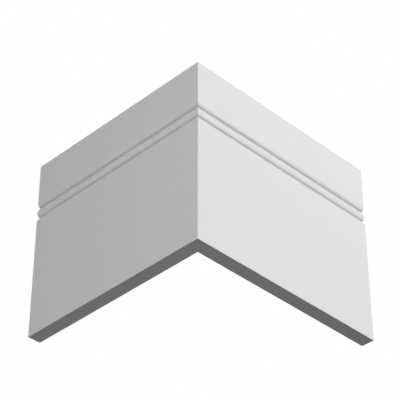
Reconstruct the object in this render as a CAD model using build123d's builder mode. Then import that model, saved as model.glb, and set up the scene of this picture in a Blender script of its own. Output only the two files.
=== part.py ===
from build123d import *
from math import acos, cos, degrees, radians, sin
import os

# External corner of skirting board: two lengths of one milled board, mitred and glued.
# The origin is where the wall's corner meets the floor, the wall fills +X and +Y,
# and the front faces look towards -Y (right board) and -X (left board).
# Lengths are in millimetres, angles in degrees.

# Board stock
height = 170.0  # floor to top edge
thickness = 12.0  # wall to front face
top_edge_radius = 2.0  # rounding of the front top edge

# Length of each front face, from the corner's arris to the square end
right_length = 194.7
left_length = 187.5

# Double groove: each groove is rounded above, hollow at its root and straight below
top_band = 39.5  # plain band above the upper groove
groove_depth = 2.9
ovolo_radius = 5.3  # rounded upper side, tangent to the face
root_radius = 0.8  # hollow at the bottom of the groove
flank_angle = 55.0  # straight lower side, measured off the face
bead_radius = 4.2  # rounded crown of the bead between the grooves
lip_radius = 2.5  # rounded edge below the lower groove


def groove(start, edge_radius):
    """Groove in the face below start. Its lower side ends in an edge rounded into the face."""
    ovolo_turn = degrees(acos(1 - groove_depth / (ovolo_radius + root_radius)))
    rounded_depth = (root_radius + edge_radius) * (1 - cos(radians(flank_angle)))
    flank_length = (groove_depth - rounded_depth) / sin(radians(flank_angle))
    ovolo = JernArc(start, (0, -1), ovolo_radius, -ovolo_turn)
    root = JernArc(ovolo @ 1, ovolo % 1, root_radius, ovolo_turn + flank_angle)
    flank = PolarLine(root @ 1, flank_length, flank_angle - 90)
    return JernArc(flank @ 1, flank % 1, edge_radius, -flank_angle)


def board_section(plane):
    """Section of the board: wall at x = 0, front face at x = thickness, floor at y = 0."""
    with BuildSketch(plane) as section:
        with BuildLine():
            back = Polyline((thickness, 0), (0, 0), (0, height), (thickness - top_edge_radius, height))
            top_edge = JernArc(back @ 1, (1, 0), top_edge_radius, -90)
            band = Line(top_edge @ 1, (thickness, height - top_band))
            bead = groove(band @ 1, bead_radius)
            lip = groove(bead @ 1, lip_radius)
            Line(lip @ 1, back @ 0)
        make_face()
    return section.sketch


# Upright cut from the wall's corner to the arris, at half the corner's right angle
mitre = Plane(origin=(0, 0, 0), z_dir=(1, -1, 0))

# The right board runs along the wall that faces -Y, drawn from its square end to the corner
right_end = Plane(origin=(right_length - thickness, 0, 0), x_dir=(0, -1, 0), z_dir=(-1, 0, 0))
with BuildPart() as right_board:
    extrude(board_section(right_end), amount=right_length)
    split(bisect_by=mitre, keep=Keep.TOP)

# The left board runs along the wall that faces -X, drawn from the corner to its square end
left_start = Plane(origin=(0, -thickness, 0), x_dir=(-1, 0, 0), z_dir=(0, 1, 0))
with BuildPart() as left_board:
    extrude(board_section(left_start), amount=left_length)
    split(bisect_by=mitre, keep=Keep.BOTTOM)

os.makedirs("parts", exist_ok=True)
right_board.part.label = "right_board"
export_step(right_board.part, "parts/right_board.step")
left_board.part.label = "left_board"
export_step(left_board.part, "parts/left_board.step")
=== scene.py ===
from math import cos, radians, sin, tau

import bpy
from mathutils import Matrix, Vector


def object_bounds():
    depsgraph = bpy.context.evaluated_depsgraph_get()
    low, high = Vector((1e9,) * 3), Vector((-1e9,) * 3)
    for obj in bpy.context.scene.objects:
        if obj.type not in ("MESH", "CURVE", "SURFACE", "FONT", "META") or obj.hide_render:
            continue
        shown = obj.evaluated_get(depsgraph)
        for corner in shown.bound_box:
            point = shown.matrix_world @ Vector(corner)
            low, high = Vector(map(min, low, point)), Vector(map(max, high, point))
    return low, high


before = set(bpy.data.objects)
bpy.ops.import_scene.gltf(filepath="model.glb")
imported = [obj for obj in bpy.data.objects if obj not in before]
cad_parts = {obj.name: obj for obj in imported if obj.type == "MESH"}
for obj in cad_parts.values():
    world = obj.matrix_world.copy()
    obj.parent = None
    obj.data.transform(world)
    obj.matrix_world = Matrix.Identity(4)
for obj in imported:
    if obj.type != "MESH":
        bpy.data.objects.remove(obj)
cad_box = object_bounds()

# The boards run along the two walls: the right one along X, the left one along Y.
# Their front faces are one thickness out from the walls, which meet at the origin.
THICKNESS = -cad_box[0].x
HEIGHT = cad_box[1].z
MIDDLE = (cad_box[0] + cad_box[1]) / 2

# Milled grooves, as in the part: the heights where they begin and end, and one between the two
GROOVES_TOP = HEIGHT - 0.0395
GROOVES_FOOT = HEIGHT - 0.0583
BETWEEN_GROOVES = HEIGHT - 0.0498

# Camera of the photograph: below floor level, square to the arris, looking up at it
CAMERA_PLACE = (-0.6761, -0.6794, -0.6721)
CAMERA_TURN = -44.96
CAMERA_PITCH = 36.88
SENSOR_MM = 36
LENS_MM = 145.57

# Satin white paint
PAINT_COLOUR = 0.80
PAINT_ROUGHNESS = 0.50
PAINT_GLOSS = 0.30
PAINT_IOR = 1.5

# Painted shade deep in the grooves: share of the paint's colour left deep in the lower and the upper
# groove, the half width over which one passes into the other, and the depths behind the face where
# the change starts and ends
LOWER_GROOVE_SHADE = 0.79
UPPER_GROOVE_SHADE = 0.765
GROOVE_SHADE_BLEND = 0.002
GROOVE_SHALLOW = 0.0010
GROOVE_DEEP = 0.0017

# Uneven paint, with sizes in metres: mottling, roller streaks, orange peel and saw marks.
# MOTTLE and STREAK are the share by which the tone strays to each side.
MOTTLE = 0.006
MOTTLE_SIZE = 0.030
STREAK = 0.006
STREAK_STRETCH = 40.0
STREAK_WIDTH = 0.0022
PEEL_SIZE = 0.0011
PEEL_HEIGHT = 0.000006
SAW_PITCH = 0.0017
SAW_HEIGHT = 0.000006
ROUGHNESS_SPREAD = 0.04
ROUGHER_BARE = 0.14

# Middle range of the noise, stretched to its full effect
NOISE_LOW = 0.3
NOISE_HIGH = 0.7

# A face looks along an axis where its normal's part on that axis is over this
FACING = 0.9

# Soft studio lamps: name, turn from +X and rise above the horizon in degrees, distance and diameter
# in metres, power in watts. The first three light what the photograph shows, from the low side
# because it looks up. The last two light the top and the backs for the other views.
LAMPS = (
    ("key", 280, 12, 1.42, 0.50, 15.46),
    ("fill", 193, 5, 0.89, 0.31, 2.22),
    ("low", 202, -33, 2.00, 0.70, 8.69),
    ("top", 45, 60, 1.60, 0.70, 16.0),
    ("back", 40, 6, 1.60, 0.70, 12.0),
)

# Floor: its grey, a glow that keeps it pale, its size, its gap under the boards, and the distances
# from its middle between which it runs out into white
FLOOR_COLOUR = 0.80
FLOOR_GLOW = 0.40
FLOOR_SIZE = 4.0
FLOOR_GAP = 0.0004
FLOOR_NEAR = 0.35
FLOOR_FAR = 0.90


def make_camera():
    """The photograph's camera, found from the corners of the boards."""
    data = bpy.data.cameras.new("camera")
    data.sensor_width = SENSOR_MM
    data.lens = LENS_MM
    camera = bpy.data.objects.new("camera", data)
    camera.location = CAMERA_PLACE
    camera.rotation_euler = (radians(90 + CAMERA_PITCH), 0, radians(CAMERA_TURN))
    bpy.context.scene.collection.objects.link(camera)
    bpy.context.scene.camera = camera


def node(tree, kind, **values):
    """Adds a shader node and sets its properties and, where the name is a socket's, that input."""
    made = tree.nodes.new(kind)
    for name, value in values.items():
        if hasattr(made, name):
            setattr(made, name, value)
        else:
            made.inputs[name.replace("_", " ")].default_value = value
    return made


def feed(tree, socket, value):
    """Sets an input to a number or links it to another node's output."""
    if isinstance(value, (int, float)):
        socket.default_value = value
    else:
        tree.links.new(value, socket)


def maths(tree, operation, first, second=0.0):
    """One sum on numbers or outputs."""
    made = node(tree, "ShaderNodeMath", operation=operation)
    feed(tree, made.inputs[0], first)
    feed(tree, made.inputs[1], second)
    return made.outputs[0]


def spread(tree, value, low, high, to_low=0.0, to_high=1.0, smooth=False):
    """Maps low..high to to_low..to_high, held at the ends."""
    made = node(tree, "ShaderNodeMapRange", interpolation_type="SMOOTHSTEP" if smooth else "LINEAR")
    tree.links.new(value, made.inputs["Value"])
    made.inputs["From Min"].default_value = low
    made.inputs["From Max"].default_value = high
    made.inputs["To Min"].default_value = to_low
    made.inputs["To Max"].default_value = to_high
    return made.outputs["Result"]


def noise(tree, place, size, detail=2.0, stretch=(1, 1, 1)):
    """Even noise from 0 to 1 with cells about this size in metres, stretched along the axes."""
    scale = Vector([1 / (size * factor) for factor in stretch])
    mapping = node(tree, "ShaderNodeMapping", Scale=scale)
    made = node(tree, "ShaderNodeTexNoise", Scale=1.0, Detail=detail)
    tree.links.new(place, mapping.inputs["Vector"])
    tree.links.new(mapping.outputs[0], made.inputs["Vector"])
    return made.outputs[0]


def stray(tree, value, middle, reach):
    """Turns noise into values around a middle, up to this far to each side."""
    return spread(tree, value, NOISE_LOW, NOISE_HIGH, middle - reach, middle + reach)


def new_material(name):
    """An empty node material, its tree and its output node."""
    material = bpy.data.materials.new(name)
    material.use_nodes = True
    material.node_tree.nodes.clear()
    output = node(material.node_tree, "ShaderNodeOutputMaterial")
    return material, material.node_tree, output


def board_masks(tree, length_axis):
    """A board's coordinates and heights, and masks for the grooves' depth, the ends and the back."""
    coords = node(tree, "ShaderNodeTexCoord")
    place = node(tree, "ShaderNodeSeparateXYZ")
    facing = node(tree, "ShaderNodeSeparateXYZ")
    tree.links.new(coords.outputs["Object"], place.inputs[0])
    tree.links.new(coords.outputs["Normal"], facing.inputs[0])
    across = 1 - length_axis
    height = place.outputs[2]

    # Ends face along the board. The back is the only broad face on the walls' side.
    end = maths(tree, "GREATER_THAN", maths(tree, "ABSOLUTE", facing.outputs[length_axis]), FACING)
    back = maths(tree, "GREATER_THAN", facing.outputs[across], FACING)

    # The grooves are the band between their heights, in the front half and not on an end
    inward = maths(tree, "ADD", place.outputs[across], THICKNESS)
    under_top = maths(tree, "LESS_THAN", height, GROOVES_TOP)
    over_foot = maths(tree, "GREATER_THAN", height, GROOVES_FOOT)
    band = maths(tree, "MULTIPLY", under_top, over_foot)
    front_half = maths(tree, "LESS_THAN", inward, THICKNESS / 2)
    not_end = maths(tree, "SUBTRACT", 1.0, end)
    groove = maths(tree, "MULTIPLY", maths(tree, "MULTIPLY", band, front_half), not_end)
    # How far behind the face a point lies in the grooves; this sets the painted shade there and the
    # rougher finish
    depth = spread(tree, inward, GROOVE_SHALLOW, GROOVE_DEEP, smooth=True)
    groove_depth = maths(tree, "MULTIPLY", groove, depth)
    return coords.outputs["Object"], height, groove_depth, end, back


def paint_material(name, length_axis):
    """Satin white paint on milled fibreboard, rolled on along the board."""
    material, tree, output = new_material(name)
    place, height, groove_depth, end, back = board_masks(tree, length_axis)
    stretch = [1.0, 1.0, 1.0]
    stretch[length_axis] = STREAK_STRETCH
    mottle = noise(tree, place, MOTTLE_SIZE, detail=3.0)
    streaks = noise(tree, place, STREAK_WIDTH, detail=3.0, stretch=stretch)
    peel = noise(tree, place, PEEL_SIZE)

    # Tone: slight mottling and roller streaks, and painted shade down in the grooves
    mottled = stray(tree, mottle, 1.0, MOTTLE)
    streaked = stray(tree, streaks, 1.0, STREAK)
    # Painted shade: the grooves get darker deep down, a little more in the upper groove than the
    # lower
    painted_groove_shade = spread(tree, height, BETWEEN_GROOVES - GROOVE_SHADE_BLEND, BETWEEN_GROOVES + GROOVE_SHADE_BLEND,
                     1 - LOWER_GROOVE_SHADE, 1 - UPPER_GROOVE_SHADE)
    groove_shade_factor = maths(tree, "SUBTRACT", 1.0, maths(tree, "MULTIPLY", groove_depth, painted_groove_shade))
    tone_and_groove_shade = maths(tree, "MULTIPLY", maths(tree, "MULTIPLY", mottled, streaked), groove_shade_factor)
    grey = maths(tree, "MULTIPLY", tone_and_groove_shade, PAINT_COLOUR)
    colour = node(tree, "ShaderNodeCombineColor")
    for channel in colour.inputs:
        tree.links.new(grey, channel)

    # Finish: a little uneven, rougher on the back and the ends and down in the grooves
    uneven = stray(tree, mottle, PAINT_ROUGHNESS, ROUGHNESS_SPREAD)
    bare = maths(tree, "MAXIMUM", maths(tree, "MAXIMUM", end, back), groove_depth)
    roughness = maths(tree, "ADD", uneven, maths(tree, "MULTIPLY", bare, ROUGHER_BARE))

    # Relief in metres: orange peel everywhere, saw marks on the ends
    saw_marks = maths(tree, "SINE", maths(tree, "MULTIPLY", height, tau / SAW_PITCH))
    sawn = maths(tree, "MULTIPLY", maths(tree, "MULTIPLY", saw_marks, end), SAW_HEIGHT)
    relief = maths(tree, "ADD", maths(tree, "MULTIPLY", peel, PEEL_HEIGHT), sawn)
    bump = node(tree, "ShaderNodeBump", Distance=1.0)
    tree.links.new(relief, bump.inputs["Height"])

    shader = node(tree, "ShaderNodeBsdfPrincipled", IOR=PAINT_IOR, Specular_IOR_Level=PAINT_GLOSS)
    tree.links.new(colour.outputs[0], shader.inputs["Base Color"])
    tree.links.new(roughness, shader.inputs["Roughness"])
    tree.links.new(bump.outputs[0], shader.inputs["Normal"])
    tree.links.new(shader.outputs[0], output.inputs["Surface"])
    return material


def floor_material():
    """Pale floor that runs out into plain white. Only the camera sees it, and only from above."""
    material, tree, output = new_material("pale_floor")

    # Near the middle the floor takes the shadow, and further out it is as white as the background
    matt = node(tree, "ShaderNodeBsdfDiffuse", Color=(FLOOR_COLOUR, FLOOR_COLOUR, FLOOR_COLOUR, 1))
    glow = node(tree, "ShaderNodeEmission", Strength=FLOOR_GLOW)
    white = node(tree, "ShaderNodeEmission", Strength=1.0)
    near = node(tree, "ShaderNodeAddShader")
    whole = node(tree, "ShaderNodeMixShader")
    coords = node(tree, "ShaderNodeTexCoord")
    radius = node(tree, "ShaderNodeVectorMath", operation="LENGTH")
    tree.links.new(coords.outputs["Object"], radius.inputs[0])
    whiteness = spread(tree, radius.outputs["Value"], FLOOR_NEAR, FLOOR_FAR, smooth=True)
    tree.links.new(matt.outputs[0], near.inputs[0])
    tree.links.new(glow.outputs[0], near.inputs[1])
    tree.links.new(whiteness, whole.inputs[0])
    tree.links.new(near.outputs[0], whole.inputs[1])
    tree.links.new(white.outputs[0], whole.inputs[2])

    # Clear to every ray but the camera's, and clear from below
    path = node(tree, "ShaderNodeLightPath")
    geometry = node(tree, "ShaderNodeNewGeometry")
    clear = node(tree, "ShaderNodeBsdfTransparent")
    pick = node(tree, "ShaderNodeMixShader")
    upper = maths(tree, "SUBTRACT", 1.0, geometry.outputs["Backfacing"])
    seen = maths(tree, "MULTIPLY", path.outputs["Is Camera Ray"], upper)
    tree.links.new(seen, pick.inputs[0])
    tree.links.new(clear.outputs[0], pick.inputs[1])
    tree.links.new(whole.outputs[0], pick.inputs[2])
    tree.links.new(pick.outputs[0], output.inputs["Surface"])
    return material


def make_floor():
    """Plain floor just under the boards."""
    half = FLOOR_SIZE / 2
    mesh = bpy.data.meshes.new("floor")
    corners = [(x * half, y * half, 0) for x, y in ((-1, -1), (1, -1), (1, 1), (-1, 1))]
    mesh.from_pydata(corners, [], [(0, 1, 2, 3)])
    mesh.materials.append(floor_material())
    floor = bpy.data.objects.new("floor", mesh)
    floor.location = (MIDDLE.x, MIDDLE.y, -FLOOR_GAP)
    bpy.context.scene.collection.objects.link(floor)


def make_world():
    """White surroundings for the camera and for gloss. The lamps alone light the object."""
    world = bpy.data.worlds.new("studio")
    bpy.context.scene.world = world
    world.use_nodes = True
    tree = world.node_tree
    tree.nodes.clear()
    output = node(tree, "ShaderNodeOutputWorld")
    path = node(tree, "ShaderNodeLightPath")
    seen = maths(tree, "MAXIMUM", path.outputs["Is Camera Ray"], path.outputs["Is Glossy Ray"])
    seen = maths(tree, "MAXIMUM", seen, path.outputs["Is Transmission Ray"])
    white = node(tree, "ShaderNodeBackground", Color=(1, 1, 1, 1), Strength=1.0)

    # The mix's first input stays empty, so every other ray gets black
    pick = node(tree, "ShaderNodeMixShader")
    tree.links.new(seen, pick.inputs[0])
    tree.links.new(white.outputs[0], pick.inputs[2])
    tree.links.new(pick.outputs[0], output.inputs["Surface"])


def make_lamp(name, turn, rise, distance, diameter, power):
    """A round soft lamp that faces the object's middle and isn't itself seen by the camera."""
    data = bpy.data.lights.new(name, "AREA")
    data.shape = "DISK"
    data.size = diameter
    data.energy = power
    lamp = bpy.data.objects.new(name, data)
    flat = cos(radians(rise))
    away = Vector((cos(radians(turn)) * flat, sin(radians(turn)) * flat, sin(radians(rise))))
    lamp.location = MIDDLE + away * distance
    lamp.rotation_mode = "QUATERNION"
    lamp.rotation_quaternion = away.to_track_quat("Z", "Y")
    lamp.visible_camera = False
    bpy.context.scene.collection.objects.link(lamp)


make_camera()
make_world()
make_floor()
for lamp in LAMPS:
    make_lamp(*lamp)

for board, length_axis in (("right_board", 0), ("left_board", 1)):
    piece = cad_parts[board]
    piece.data.materials.clear()
    piece.data.materials.append(paint_material("paint_" + board, length_axis))

bpy.context.scene.view_settings.view_transform = "Standard"
